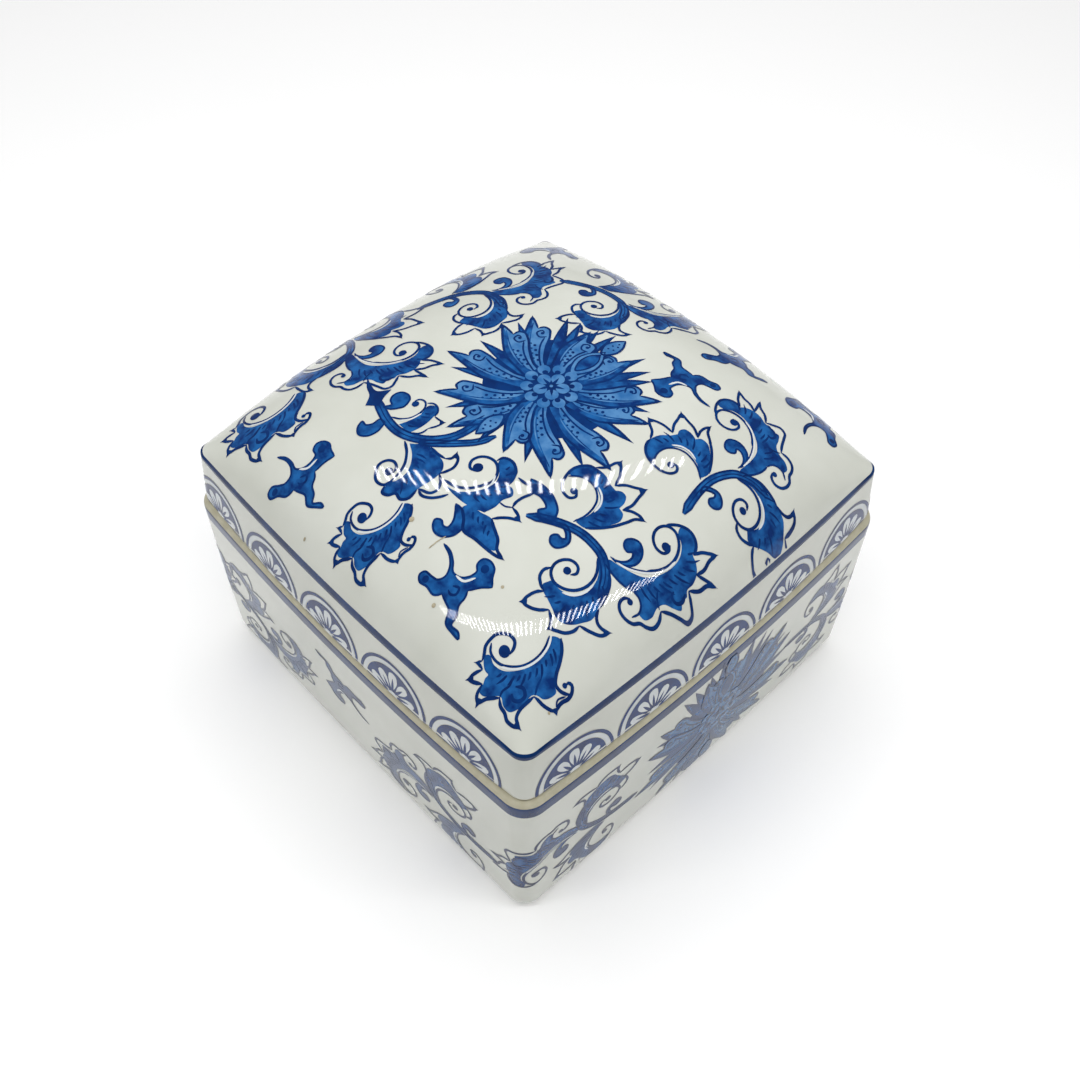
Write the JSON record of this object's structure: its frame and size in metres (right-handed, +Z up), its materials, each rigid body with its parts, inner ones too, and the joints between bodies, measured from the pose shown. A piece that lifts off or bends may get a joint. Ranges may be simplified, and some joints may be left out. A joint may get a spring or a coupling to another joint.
{
  "type": "trinket box",
  "caption": "Square blue-and-white porcelain trinket box with bowed sides, a locating rim inside and a domed lift-off lid.",
  "frame": {"origin": "on the table, under the middle of the box", "axes": "+Z up through the crown of the lid, +X and +Y square to the four sides"},
  "size_m": [0.1396, 0.1396, 0.1059],
  "materials": {
    "base_porcelain": "clear glossy glaze over cobalt painting, bare biscuit on the shoulder and foot ring",
    "lid_porcelain": "clear glossy glaze over cobalt painting, bare biscuit on the skirt's lower edge"
  },
  "bodies": {
    "base": {"box_base": "base_porcelain"},
    "lid_body": {"lid": "lid_porcelain"}
  },
  "joints": [
    {"name": "lid_lift", "type": "slide", "parent": "base", "child": "lid_body", "axis": [0, 0, 1], "range_m": [0, 0.06]}
  ]
}
